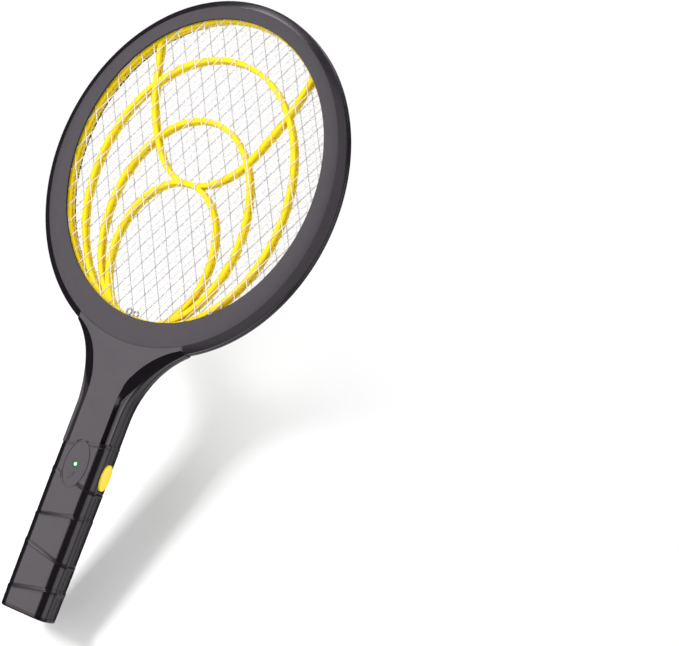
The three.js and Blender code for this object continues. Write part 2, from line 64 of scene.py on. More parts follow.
RING_A = RING_HIGH[0]
RING_B = 123.4
RING_Z = RING_HIGH[2] - RING_B
OPEN_A, OPEN_B, OPEN_Z = 94.3, 105.6, RING_Z + 4
RING_FACE = RING_HIGH[1]
CHAMFER_WIDE, CHAMFER_DEEP = 5.0, 2.8
RING_WALL = 2.0
RING_LIP = 1.6
SEAM = 0.005  # half of the gap between front and rear halves
RIM_IN, RIM_OUT, RIM_NEAR, RIM_FAR = 1.0, 4.0, 0.3, 3.4
RIB_WIDTH = 3.4
NET_Y = 3.9
NET_EDGE = 2.0
OUTER_CELL, CENTRE_CELL = (5.65, 9.8), (3.45, 2.25)  # half the width and height of a net's cell

NECK_TOP = 143.0
GRIP_WIDTH = 18.9
NECK_WIDTH, NECK_DEPTH, FLAT, SIDE = 18.3, 9.9, 11.6, 3.4
# The neck's sides and its raised plate widen upwards: start, radius and greatest half width.
SIDE_FLARE, PLATE_FLARE = (81, 69, 44.3), (90, 51, 41.7)
LEDGE, LEDGE_TOP = 7.6, 3.8  # height, low and high on the neck, of the shelf beside the raised plate
LEDGE_DROP = (96, 133)  # heights between which the shelf goes from one to the other
FOOT_FADE = (84, 109)  # heights between which the plate's sloping side widens until the shelf is gone
LEDGE_EDGE = 1.0  # radius of the shelf's outer edge
PLATE_DROP = 26  # length over which the plate comes down to the ring's face
WALL = 1.8
# Each slanted step of the grip: its height on the centre line and its rise per millimetre across.
GRIP_TOP = (59.4, 0.224)
WRAPS = [(34.9, -0.224), (10.05, 0.211), (-15.15, -0.228), (-39.85, 0.211)]
WRAP_RISE, WRAP_STEP = 1.2, 0.42
GRIP_OUT = 0.35  # the grip's surface stands this far out of the neck's
EMBLEM_Z, EMBLEM_A, EMBLEM_B, EMBLEM_OUT = 44.6, 8.8, 15.7, 0.4
LED_Z = (LED_LOW[2] + LED_HIGH[2]) / 2
LENS = 2.05
BUTTON_Z = (BUTTON_LOW[2] + BUTTON_HIGH[2]) / 2
BUTTON_LONG, BUTTON_WIDE = 18.0, 10.0

# The door's rails: half widths, and the places of their middles to each side.
DOOR_TOP = DOOR_HIGH[2] - 3
RAIL_X, HOOK_X, WAY_X = 15.9, 15.6, 15.7
RAIL_HALF, HOOK_HALF, WAY_HALF = 0.9, 0.6, 1.1
CATCH_X, CATCH_Y = 6, (7.0, 7.8)

CELL_RADIUS, CELL_NUB = 7.1, 1.4
SPRING_X, SPRING_Y, SPRING_TURNS = 7.6, -0.4, 3.0
SPRING_WIDE, SPRING_NARROW, SPRING_WIRE = 4.4, 3.0, 0.38

# ---- Studio ----
VIEW_FROM = (27.434, -4.392, 1.2603)  # the camera's azimuth, elevation and distance
VIEW_AIM, VIEW_ROLL, FOCAL_LENGTH = (0.1403, 0, 0.1869), 20.458, 106.04
FLOOR_DROP = 63  # depth of the floor below the handle's end
BACKDROP_Y = 26
RNG = np.random.default_rng(4)


# ---- Meshes ----
def new_object(name, verts, faces, smooth_angle=32.0):
    mesh = bpy.data.meshes.new(name)
    mesh.from_pydata((np.asarray(verts, float) * MM).tolist(), [], [list(f) for f in faces])
    mesh.validate()
    obj = bpy.data.objects.new(name, mesh)
    bpy.context.scene.collection.objects.link(obj)
    tidy_mesh(obj, smooth_angle)
    return obj


def tidy_mesh(obj, smooth_angle=32.0):
    """Faces point out, and only edges sharper than the angle stay sharp."""
    bm = bmesh.new()
    bm.from_mesh(obj.data)
    bmesh.ops.recalc_face_normals(bm, faces=bm.faces)
    limit = math.radians(smooth_angle)
    for face in bm.faces:
        face.smooth = True
    for edge in bm.edges:
        edge.smooth = len(edge.link_faces) == 2 and edge.calc_face_angle() < limit
    bm.to_mesh(obj.data)
    bm.free()


def boolean(obj, other, operation):
    """Joins or cuts obj with other, which is used up."""
    modifier = obj.modifiers.new("cut", "BOOLEAN")
    modifier.operation = operation
    modifier.object = other
    modifier.solver = "MANIFOLD"
    bpy.context.view_layer.update()
    evaluated = obj.evaluated_get(bpy.context.evaluated_depsgraph_get())
    result = bpy.data.meshes.new_from_object(evaluated)
    obj.modifiers.clear()
    obj.data = result
    bpy.data.objects.remove(other)
    return obj


def grid_loft(name, rings, closed=False, smooth_angle=32.0):
    """Joins rings of points into a tube: closed on itself, or capped at both ends."""
    rings = np.asarray(rings, float)
    count, n = rings.shape[:2]
    verts = rings.reshape(-1, 3)
    faces = []
    for s in range(count if closed else count - 1):
        here, ahead = s * n, (s + 1) % count * n
        faces += [(here + i, here + (i + 1) % n, ahead + (i + 1) % n, ahead + i) for i in range(n)]
    if not closed:
        faces += [tuple(range(n)), tuple(range((count - 1) * n, count * n))]
    return new_object(name, verts, faces, smooth_angle)


def block(name, x0, x1, y0, y1, z0, z1):
    ring = lambda z: [(x0, y0, z), (x1, y0, z), (x1, y1, z), (x0, y1, z)]
    return grid_loft(name, [ring(z0), ring(z1)])


def lathe(name, profile, centre, axis, steps=48, smooth_angle=32.0):
    """Turns (radius, height) pairs about an axis through centre."""
    axis = Vector(axis).normalized()
    turn = Vector((0, 0, 1)).rotation_difference(axis).to_matrix()
    angles = around(steps)
    rings = []
    for r, h in profile:
        r = max(r, 1e-3)
        ring = np.stack([np.cos(angles) * r, np.sin(angles) * r, np.full(steps, h)], 1)
        rings.append(ring @ np.array(turn).T + np.array(centre))
    return grid_loft(name, rings, smooth_angle=smooth_angle)


def rounded(points, radius, steps=4, closed=True):
    """The same outline with each corner turned into an arc."""
    points = [np.array(p, float) for p in points]
    out = []
    for i, p in enumerate(points):
        if not closed and i in (0, len(points) - 1):
            out.append(p)
            continue
        a, b = points[i - 1], points[(i + 1) % len(points)]
        r = min(radius, 0.45 * np.linalg.norm(a - p), 0.45 * np.linalg.norm(b - p))
        start = p + (a - p) / np.linalg.norm(a - p) * r
        end = p + (b - p) / np.linalg.norm(b - p) * r
        for s in range(steps + 1):
            t = s / steps
            out.append((1 - t) ** 2 * start + 2 * t * (1 - t) * p + t * t * end)
    return out


def around(count):
    """Angles of a full turn."""
    return np.linspace(0, 2 * math.pi, count, endpoint=False)


def smoothstep(x, a, b):
    t = np.clip((x - a) / (b - a), 0, 1)
    return t * t * (3 - 2 * t)


def dress(obj, material, body=BODY, replaces=()):
    """Gives a piece its material and its body, and hides the CAD nodes it stands for."""
    obj.data.materials.clear()
    obj.data.materials.append(material)
    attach(obj, body)
    if replaces:
        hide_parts(*replaces)
    return obj


# ---- Materials: every one is built from nodes ----
def node_material(name, base, roughness, metallic=0.0, **sockets):
    material = bpy.data.materials.new(name)
    material.use_nodes = True
    nodes = material.node_tree.nodes
    shader = nodes["Principled BSDF"]
    shader.inputs["Base Color"].default_value = (*base, 1)
    shader.inputs["Roughness"].default_value = roughness
    shader.inputs["Metallic"].default_value = metallic
    for key, value in sockets.items():
        shader.inputs[key.replace("_", " ")].default_value = value
    return material, shader


def add_noise(material, scale, detail=4.0, stretch=(1, 1, 1)):
    nodes, links = material.node_tree.nodes, material.node_tree.links
    coords = nodes.new("ShaderNodeTexCoord")
    mapping = nodes.new("ShaderNodeMapping")
    mapping.inputs["Scale"].default_value = stretch
    noise = nodes.new("ShaderNodeTexNoise")
    noise.inputs["Scale"].default_value = scale
    noise.inputs["Detail"].default_value = detail
    links.new(coords.outputs["Object"], mapping.inputs["Vector"])
    links.new(mapping.outputs["Vector"], noise.inputs["Vector"])
    return noise.outputs["Fac"]


def spread(material, factor, low, high, socket, colours=False):
    """Maps a 0..1 factor to a shader input between two values or colours."""
    nodes, links = material.node_tree.nodes, material.node_tree.links
    shader = nodes["Principled BSDF"]
    ramp = nodes.new("ShaderNodeValToRGB")
    ramp.color_ramp.elements[0].position = 0.3
    ramp.color_ramp.elements[1].position = 0.7
    ends = (low, high) if colours else ((low,) * 3, (high,) * 3)
    for element, value in zip(ramp.color_ramp.elements, ends):
        element.color = (*value, 1)
    links.new(factor, ramp.inputs["Fac"])
    links.new(ramp.outputs["Color"], shader.inputs[socket])


def add_bump(material, height, strength, distance):
    nodes, links = material.node_tree.nodes, material.node_tree.links
    shader = nodes["Principled BSDF"]
    bump = nodes.new("ShaderNodeBump")
    bump.inputs["Strength"].default_value = strength
    bump.inputs["Distance"].default_value = distance
    links.new(height, bump.inputs["Height"])
    if shader.inputs["Normal"].is_linked:
        links.new(shader.inputs["Normal"].links[0].from_socket, bump.inputs["Normal"])
    links.new(bump.outputs["Normal"], shader.inputs["Normal"])


def moulded(name, base, roughness, vary=0.12, grain=2600, **sockets):
    """Moulded plastic: a fine grain, a slow waviness and slight changes of shade and gloss."""
    material, _ = node_material(name, base, roughness, **sockets)
    slow = add_noise(material, 38, 5)
    dark = tuple(c * (1 - vary) for c in base)
    light = tuple(min(1, c * (1 + vary)) for c in base)
    spread(material, slow, dark, light, "Base Color", colours=True)
    spread(material, add_noise(material, 160, 2), roughness * 0.94, roughness * 1.06, "Roughness")
    add_bump(material, add_noise(material, grain, 2), 0.2, 0.00002)
    add_bump(material, add_noise(material, 60, 3), 0.03, 0.0003)
    return material


def metallic(name, base, roughness, brush=(1, 1, 1), vary=0.1, metal=1.0):
    material, _ = node_material(name, base, roughness, metallic=metal)
    streaks = add_noise(material, 420, 5, brush)
    dark = tuple(c * (1 - vary) for c in base)
    spread(material, streaks, dark, base, "Base Color", colours=True)
    spread(material, streaks, roughness * 0.75, roughness * 1.3, "Roughness")
    add_bump(material, add_noise(material, 1500, 3, brush), 0.15, 0.00004)
    return material


BLACK, COOL_SHINE = (0.007, 0.0055, 0.0078), (1, 0.93, 1, 1)
RING_BLACK = moulded("ring black", BLACK, 0.25, Specular_Tint=COOL_SHINE, Specular_IOR_Level=0.4)
HANDLE_BLACK = moulded("handle black", BLACK, 0.21, grain=3400, Specular_Tint=COOL_SHINE)
YELLOW = moulded("frame yellow", (0.88, 0.655, 0.0), 0.42, vary=0.04,
                 Subsurface_Weight=0.12, Subsurface_Scale=0.002, Specular_IOR_Level=0.25)
BUTTON_YELLOW = moulded("button yellow", (0.86, 0.61, 0.04), 0.3, vary=0.05)
WIRE = metallic("net wire", (0.96, 0.95, 0.95), 0.45, vary=0.05, metal=0.4)
FINE_WIRE = metallic("fine net wire", (0.74, 0.72, 0.76), 0.35)
EYELET = metallic("tinned eyelet", (0.3, 0.27, 0.25), 0.3)
PLATED = metallic("nickel plate", (0.78, 0.77, 0.75), 0.24)
ZINC = metallic("zinc plate", (0.6, 0.6, 0.62), 0.34, brush=(1, 0.1, 1))
BOARD = moulded("board lacquer", (0.02, 0.16, 0.05), 0.35, vary=0.25)
COMPONENT = moulded("component epoxy", (0.02, 0.02, 0.022), 0.55)
TAN = moulded("dipped lacquer", (0.5, 0.26, 0.09), 0.4, vary=0.2)
RED_WIRE = moulded("red insulation", (0.5, 0.02, 0.015), 0.45)
BLACK_WIRE = moulded("black insulation", (0.015, 0.015, 0.015), 0.45)


def led_material():
    material, shader = node_material("lit green lens", (0.2, 0.9, 0.35), 0.12)
    nodes, links = material.node_tree.nodes, material.node_tree.links
    coords = nodes.new("ShaderNodeTexCoord")
    distance = nodes.new("ShaderNodeVectorMath")
    distance.operation = "DISTANCE"
    distance.inputs[1].default_value = (0, (-NECK_DEPTH - EMBLEM_OUT) * MM, LED_Z * MM)
    reach = nodes.new("ShaderNodeMapRange")
    reach.inputs["From Max"].default_value = 0.002
    ramp = nodes.new("ShaderNodeValToRGB")
    stops = ramp.color_ramp.elements
    stops[0].position, stops[0].color = 0.5, (0.5, 0.95, 0.62, 1)
    stops[1].position, stops[1].color = 0.66, (0.0, 0.15, 0.04, 1)
    links.new(coords.outputs["Object"], distance.inputs[0])
    links.new(distance.outputs["Value"], reach.inputs["Value"])
    links.new(reach.outputs["Result"], ramp.inputs["Fac"])
    links.new(ramp.outputs["Color"], shader.inputs["Base Color"])
    links.new(ramp.outputs["Color"], shader.inputs["Emission Color"])
    shader.inputs["Emission Strength"].default_value = 0.55
    add_bump(material, add_noise(material, 900, 2), 0.1, 0.00002)
    return material


def sleeve_material():
    """A cell's wrapper: plain bands, with no print."""
    blue, silver = (0.05, 0.06, 0.2), (0.62, 0.62, 0.66)
    material, shader = node_material("cell sleeve", blue, 0.3, metallic=0.35)
    nodes, links = material.node_tree.nodes, material.node_tree.links
    coords = nodes.new("ShaderNodeTexCoord")
    split = nodes.new("ShaderNodeSeparateXYZ")
    height = nodes.new("ShaderNodeMapRange")
    height.inputs["From Min"].default_value = -0.056
    height.inputs["From Max"].default_value = 0.0
    colours = nodes.new("ShaderNodeValToRGB")
    colours.color_ramp.interpolation = "CONSTANT"
    stops = colours.color_ramp.elements
    stops[0].position, stops[0].color = 0.0, (*blue, 1)
    stops[1].position, stops[1].color = 0.68, (*silver, 1)
    stops.new(0.74).color = (*blue, 1)
    links.new(coords.outputs["Object"], split.inputs[0])
    links.new(split.outputs["Z"], height.inputs["Value"])
    links.new(height.outputs["Result"], colours.inputs["Fac"])
    links.new(colours.outputs["Color"], shader.inputs["Base Color"])
    spread(material, add_noise(material, 300, 4), 0.22, 0.36, "Roughness")
    add_bump(material, add_noise(material, 700, 3), 0.1, 0.00003)
    return material


# ---- Camera, lights and floor ----
def look_from(azimuth, elevation, distance, aim):
    """The place at this azimuth, elevation and distance from the aim, and the direction to it."""
    a, e = math.radians(azimuth), math.radians(elevation)
    away = Vector((math.sin(a) * math.cos(e), -math.cos(a) * math.cos(e), math.sin(e)))
    return Vector(aim) + away * distance, away


def add_camera():
    data = bpy.data.cameras.new("camera")
    camera = bpy.data.objects.new("camera", data)
    bpy.context.scene.collection.objects.link(camera)
    place, away = look_from(*VIEW_FROM, VIEW_AIM)
    turn = away.to_track_quat("Z", "Y").to_matrix().to_4x4()
    roll = Matrix.Rotation(math.radians(VIEW_ROLL), 4, "Z")
    camera.matrix_world = Matrix.Translation(place) @ turn @ roll
    data.sensor_width = 36
    data.lens = FOCAL_LENGTH
    data.clip_end = 60
    bpy.context.scene.camera = camera


def add_area(name, azimuth, elevation, distance, size, strength, aim=(0, 0, 0.18)):
    """A softbox whose surface has about the given brightness."""
    data = bpy.data.lights.new(name, "AREA")
    data.shape = "RECTANGLE"
    data.size, data.size_y = size
    data.energy = strength * math.pi * size[0] * size[1]
    light = bpy.data.objects.new(name, data)
    bpy.context.scene.collection.objects.link(light)
    place, away = look_from(azimuth, elevation, distance, aim)
    turn = away.to_track_quat("Z", "Y").to_matrix().to_4x4()
    light.matrix_world = Matrix.Translation(place) @ turn
    light.visible_camera = False
    return light


def add_world():
    """White to the camera, nearly black to reflections and grey to everything else."""
    world = bpy.data.worlds.new("studio")
    bpy.context.scene.world = world
    world.use_nodes = True
    nodes, links = world.node_tree.nodes, world.node_tree.links
    nodes.clear()
    white = (1, 1, 1, 1)
    output = nodes.new("ShaderNodeOutputWorld")
    mix = nodes.new("ShaderNodeMixShader")
    path = nodes.new("ShaderNodeLightPath")
    fill, backdrop = nodes.new("ShaderNodeBackground"), nodes.new("ShaderNodeBackground")
    fill.inputs["Color"].default_value = white
    gloss = nodes.new("ShaderNodeMapRange")
    gloss.inputs["To Min"].default_value = 0.62
    gloss.inputs["To Max"].default_value = 0.03
    links.new(path.outputs["Is Glossy Ray"], gloss.inputs["Value"])
    links.new(gloss.outputs["Result"], fill.inputs["Strength"])
    backdrop.inputs["Strength"].default_value = 1.0
    backdrop.inputs["Color"].default_value = white
    links.new(path.outputs["Is Camera Ray"], mix.inputs["Fac"])
    links.new(fill.outputs[0], mix.inputs[1])
    links.new(backdrop.outputs[0], mix.inputs[2])
    links.new(mix.outputs[0], output.inputs["Surface"])


def paper(name, one_sided):
    """Pale paper that turns into even white light away from the handle's end."""
    material, shader = node_material(name, (0.5, 0.5, 0.5), 1.0, Specular_IOR_Level=0,
                                     Emission_Color=(1, 1, 1, 1), Emission_Strength=0.17)
    nodes, links = material.node_tree.nodes, material.node_tree.links
    add_bump(material, add_noise(material, 250, 3), 0.03, 0.0004)
    coords = nodes.new("ShaderNodeTexCoord")
    far = nodes.new("ShaderNodeVectorMath")
    far.operation = "DISTANCE"
    far.inputs[1].default_value = (0, 0, END_Z * MM)
    fade = nodes.new("ShaderNodeMapRange")
    fade.interpolation_type = "SMOOTHSTEP"
    fade.inputs["From Min"].default_value = 0.1
    fade.inputs["From Max"].default_value = 0.3
    white = nodes.new("ShaderNodeEmission")
    blend = nodes.new("ShaderNodeMixShader")
    links.new(coords.outputs["Object"], far.inputs[0])
    links.new(far.outputs["Value"], fade.inputs["Value"])
    links.new(fade.outputs["Result"], blend.inputs["Fac"])
    links.new(shader.outputs[0], blend.inputs[1])
    links.new(white.outputs[0], blend.inputs[2])
    surface = blend
    if one_sided:
        side = nodes.new("ShaderNodeNewGeometry")
        clear = nodes.new("ShaderNodeBsdfTransparent")
        surface = nodes.new("ShaderNodeMixShader")
        links.new(side.outputs["Backfacing"], surface.inputs["Fac"])
        links.new(blend.outputs[0], surface.inputs[1])
        links.new(clear.outputs[0], surface.inputs[2])
    links.new(surface.outputs[0], nodes["Material Output"].inputs["Surface"])
    return material


def add_floor():
    """The floor lies below the open battery door, and the backdrop rises behind the handle."""
    low = END_Z - FLOOR_DROP
    corners = ((-1, -1), (1, -1), (1, 1), (-1, 1))
    layers = [[(x * 6000, y * 6000, low - drop) for x, y in corners] for drop in (0, 2)]
    floor = grid_loft("floor", layers)
    floor.data.materials.append(paper("floor paper", False))
    profile = [(BACKDROP_Y, low + 0.1), (BACKDROP_Y, END_Z), (BACKDROP_Y + 300, END_Z + 1000)]
    verts = [(x, y, z) for y, z in profile for x in (-900, 1500)]
    backdrop = new_object("backdrop", verts, [(0, 1, 3, 2), (2, 3, 5, 4)], 60)
    if backdrop.data.polygons[0].normal.y > 0:
        backdrop.data.flip_normals()
    backdrop.data.materials.append(paper("backdrop paper", True))
    for obj in (floor, backdrop):
        obj.visible_glossy = False
        obj.visible_shadow = False
    return floor, backdrop


def light_only(light, receivers):
    """The light falls on these objects alone, though everything shadows it."""
    group = bpy.data.collections.new(light.name + " receivers")
    for obj in receivers:
        group.objects.link(obj)
    light.light_linking.receiver_collection = group


add_camera()
add_world()
stage = add_floor()
light_only(add_area("backdrop light", -36, 9, 2.2, (0.6, 0.6), 62), stage)
add_area("front softbox", -35, 0, 1.7, (0.65, 1.7), 3.35)
add_area("key", -38, 50, 2.0, (0.8, 0.7), 12)
add_area("top", 60, 80, 1.6, (0.9, 0.9), 3.0)
add_area("right strip", 75, 2, 1.6, (1.42, 1.6), 1.95)
add_area("back right softbox", 128, 4, 1.8, (1.2, 1.6), 1.0)
add_area("low back fill", 170, -38, 1.3, (1.3, 0.9), 0.7)
add_area("back softbox", 200, 12, 1.8, (1.1, 1.2), 1.6)
bpy.context.scene.view_settings.view_transform = "Standard"


# ---- Head ----
def ellipse_point(a, b, z, angle):
    return np.array([a * math.cos(angle), z + b * math.sin(angle)])


def head_point(angle, from_inner, offset, y):
    """A point of the head's section, out from the opening's edge or in from the ring's outer edge."""
    inner = ellipse_point(OPEN_A, OPEN_B, OPEN_Z, angle)
    outer = ellipse_point(RING_A, RING_B, RING_Z, angle)
    out = (outer - inner) / np.linalg.norm(outer - inner)
    p = inner + out * offset if from_inner else outer - out * offset
    return p[0], y, p[1]


def head_ring(name, profile, steps=288, radius=0.35, smooth_angle=32.0):
    rings = []
    for s in range(steps):
        angle = 2 * math.pi * s / steps
        corners = [head_point(angle, *p) for p in profile]
        rings.append(rounded(corners, radius))
    return grid_loft(name, rings, closed=True, smooth_angle=smooth_angle)


def ellipse_plate(name, a, b, z, y0, y1, steps=160):
    ring = lambda y: [(a * math.cos(t), y, z + b * math.sin(t)) for t in around(steps)]
    return grid_loft(name, [ring(y0), ring(y1)])


def half_ring(name, side):
    """Half of the ring: side is -1 for the front and 1 for the rear."""
    face, lip = side * RING_FACE, side * (RING_FACE - RING_LIP)
    chamfer = side * (RING_FACE - CHAMFER_DEEP)
    return head_ring(name, [
        (True, 0, face),
        (False, CHAMFER_WIDE, face),
        (False, 0, chamfer),
        (False, 0, side * 0.55),
        (False, 0.4, side * SEAM),
        (False, RING_WALL, side * SEAM),
        (False, RING_WALL, chamfer - side * 0.6),
        (False, CHAMFER_WIDE + 0.6, lip),
        (True, 0, lip),
    ])


def screw_spot(node):
    """A screw's X and Z and the Y of its head's top."""
    low, high = box_mm(node)
    return (low[0] + high[0]) / 2, (low[2] + high[2]) / 2, high[1]


RING_SCREWS = [f"ring_screw_{i}" for i in range(1, 7)]
HANDLE_SCREWS = [f"handle_screw_{i}" for i in range(1, 5)]


def sink_holes(obj, screws, deep):
    """Sinks the screws' heads, with a small chamfer round each hole."""
    profile = [(0, 0), (2.55, 0), (2.55, deep - 0.35), (3.1, deep + 0.2), (3.1, deep + 4)]
    for node in screws:
        x, z, top = screw_spot(node)
        boolean(obj, lathe("hole", profile, (x, top - 1.6, z), (0, 1, 0)), "DIFFERENCE")
    tidy_mesh(obj)


def add_boss(obj, node, radius, low, high):
    x, z, _ = screw_spot(node)
    profile = [(0, low), (radius, low), (radius, high), (0, high)]
    boolean(obj, lathe("boss", profile, (x, 0, z), (0, 1, 0), 32), "UNION")


def make_screw(node):
    """Pan head with a cross recess, on a plain shank."""
    x, z, top = screw_spot(node)
    tip = box_mm(node)[0][1] - top
    profile = [(0, tip), (0.7, tip), (1.05, tip + 1), (1.05, -1.6), (2.0, -1.6), (2.2, -1.4),
               (2.2, -0.9), (2.0, -0.4), (1.5, -0.12), (0.8, 0), (0, 0)]
    body = lathe(node + "_look", profile, (x, top, z), (0, 1, 0), 32)
    for dx, dz in ((1.25, 0.22), (0.22, 1.25)):
        slot = block("slot", x - dx, x + dx, top - 0.75, top + 1, z - dz, z + dz)
        boolean(body, slot, "DIFFERENCE")
    tidy_mesh(body)
    dress(body, ZINC, replaces=[node])


def build_rings():
    front = half_ring("front_ring_look", -1)
    rear = half_ring("rear_ring_look", 1)
    for node in RING_SCREWS:
        add_boss(rear, node, 3.0, 0.1, RING_FACE - RING_LIP + 0.4)
    sink_holes(rear, RING_SCREWS, 1.6)
    dress(front, RING_BLACK, replaces=["front_ring"])
    dress(rear, RING_BLACK, replaces=["rear_ring"])
    return front


# The yellow frame's ovals, each as its middle's place and its half axes, and the points of its U rib.
# Places are measured from the opening's middle.
OVALS = [(0, -15, 75.5, 93), (-1, -37, 52.5, 71.5), (-1.5, -60, 38, 50.5)]
U_POINTS = [(-64, 84), (-54.8, 51), (-46, 28.8), (-34.6, 10.6), (-21.4, -3.6), (-7.8, -9.1),
            (6.2, -9.1), (21, -2.2), (35, 12.5), (45, 33.5), (52.8, 53), (61, 84)]


def spline(points, steps):
    """Catmull-Rom curve through the points."""
    p = np.array([2 * np.array(points[0]) - np.array(points[1]), *map(np.array, points),
                  2 * np.array(points[-1]) - np.array(points[-2])], float)
    out = []
    for i in range(1, len(p) - 2):
        for t in np.linspace(0, 1, steps, endpoint=False):
            out.append(0.5 * (2 * p[i] + (p[i + 1] - p[i - 1]) * t
                              + (2 * p[i - 1] - 5 * p[i] + 4 * p[i + 1] - p[i + 2]) * t * t
                              + (3 * p[i] - p[i - 1] - 3 * p[i + 1] + p[i + 2]) * t ** 3))
    out.append(p[-2])
    return np.array(out)


def rib(name, path, closed, near, far):
    """A rib of rounded rectangular section along a path in X and Z."""
    path = np.array(path, float)
    ahead = np.roll(path, -1, 0) - np.roll(path, 1, 0)
    if not closed:
        ahead[0], ahead[-1] = path[1] - path[0], path[-1] - path[-2]
    ahead /= np.linalg.norm(ahead, axis=1)[:, None]
    side = np.stack([-ahead[:, 1], ahead[:, 0]], 1) * RIB_WIDTH / 2
    section = ((-1, far), (1, far), (1, near), (-1, near))
    rings = []
    for p, s in zip(path, side):
        corners = [(p[0] + w * s[0], y, p[1] + w * s[1]) for w, y in section]
        rings.append(rounded(corners, 0.55, 3))
    return grid_loft(name, rings, closed=closed, smooth_angle=50)


def add_rib(rim, path, closed, near, far):
    """Joins a rib to the rim, and cuts it off inside the rim's width."""
    limit = ellipse_plate("limit", OPEN_A + 2, OPEN_B + 2, OPEN_Z, -9, 9)
    boolean(rim, boolean(rib("rib", path, closed, near, far), limit, "INTERSECT"), "UNION")


def build_frames():
    turn = around(180)
    for side, node in ((-1, "front_inner_frame"), (1, "rear_inner_frame")):
        near, far = side * RIM_NEAR, side * RIM_FAR
        section = [(-RIM_IN, far), (RIM_OUT, far), (RIM_OUT, near), (-RIM_IN, near)]
        rim = head_ring(node + "_look", [(True, *corner) for corner in section], radius=0.4)
        for x, z, a, b in OVALS:
            path = np.stack([x + a * np.cos(turn), OPEN_Z + z + b * np.sin(turn)], 1)
            add_rib(rim, path, True, near, far)
        path = spline([(x, OPEN_Z + z) for x, z in U_POINTS], 12)
        add_rib(rim, path, False, near, far)
        tidy_mesh(rim, 40)
        dress(rim, YELLOW, replaces=[node])


def build_net(node, material, y, cell, radius, sides, piece, wobble):
    """Two families of crossing wires, each a little uneven, ending under the ring."""
    verts, faces = [], []
    a, b = OPEN_A + NET_EDGE, OPEN_B + NET_EDGE
    half_x, half_z = cell
    for sign in (-1, 1):
        along = np.array([half_x, sign * half_z]) / math.hypot(half_x, half_z)
        across = np.array([-along[1], along[0]])
        pitch = 2 * half_x * half_z / math.hypot(half_x, half_z)
        count = int(max(a, b) / pitch) + 2
        for k in range(-count, count + 1):
            offset = across * pitch * k
            qa = (along[0] / a) ** 2 + (along[1] / b) ** 2
            qb = 2 * (along[0] * offset[0] / a ** 2 + along[1] * offset[1] / b ** 2)
            qc = (offset[0] / a) ** 2 + (offset[1] / b) ** 2 - 1
            root = qb * qb - 4 * qa * qc
            if root <= 0:
                continue
            ends = [(-qb + s * math.sqrt(root)) / (2 * qa) for s in (-1, 1)]
            steps = max(2, int((ends[1] - ends[0]) / piece))
            ts = np.linspace(*ends, steps + 1)
            knots = ts[::3] if len(ts) > 6 else ts
            drift = np.interp(ts, knots, RNG.normal(0, wobble, len(knots)))
            start = len(verts)
            for t, d in zip(ts, drift):
                p = offset + along * t + across * d
                lift = y + sign * radius * 0.5
                for i in range(sides):
                    angle = 2 * math.pi * (i + 0.5) / sides
                    c, s = math.cos(angle) * radius, math.sin(angle) * radius
                    verts.append((p[0] + across[0] * c, lift + s, OPEN_Z + p[1] + across[1] * c))
            for s in range(steps):
                for i in range(sides):
                    j = (i + 1) % sides
                    q = start + s * sides
                    faces.append((q + i, q + j, q + sides + j, q + sides + i))
            faces.append(tuple(range(start, start + sides)))
            faces.append(tuple(range(start + steps * sides, start + (steps + 1) * sides)))
    net = new_object(node + "_look", verts, faces, 80)
    dress(net, material, replaces=[node])


def build_terminals():
    """Rolled eyelets with a flat tail, one on each outer net."""
    for node in ("front_net_terminal", "rear_net_terminal"):
        low, high = box_mm(node)
        x, y, r = (low[0] + high[0]) / 2, (low[1] + high[1]) / 2, (high[0] - low[0]) / 2
        z = high[2] - r
        out = -1 if y < 0 else 1
        hole, thin = r - 1.25, 0.14
        outline = [(hole, -thin), (r, -thin), (r, 0.16), (r - 0.5, 0.3), (hole, 0.3)]
        profile = rounded(outline, 0.12, 3)
        rings = [[(x + u * math.cos(t), y + out * v, z + u * math.sin(t)) for u, v in profile]
                 for t in around(40)]
        eyelet = grid_loft(node + "_look", rings, closed=True, smooth_angle=50)
        tail = block("tail", x - 1, x + 1, y - thin, y + thin, low[2], z - r + 0.6)
        boolean(eyelet, tail, "UNION")
        tidy_mesh(eyelet, 40)
        dress(eyelet, EYELET, replaces=[node])


# ---- Handle ----
def flare(start, z, z0, radius, most):
    """A half width that widens along an arc from height z0, up to a limit."""
    rise = np.clip(z - z0, 0, radius)
    return min(start + radius - math.sqrt(radius * radius - rise * rise), most)


def ring_distance(x, z):
    """Distance below the edge of the ring's flat face, in the plane of the head."""
    a, b = RING_A - CHAMFER_WIDE, RING_B - CHAMFER_WIDE
    return (np.hypot(x / a, (z - RING_Z) / b) - 1) * (a + b) / 2


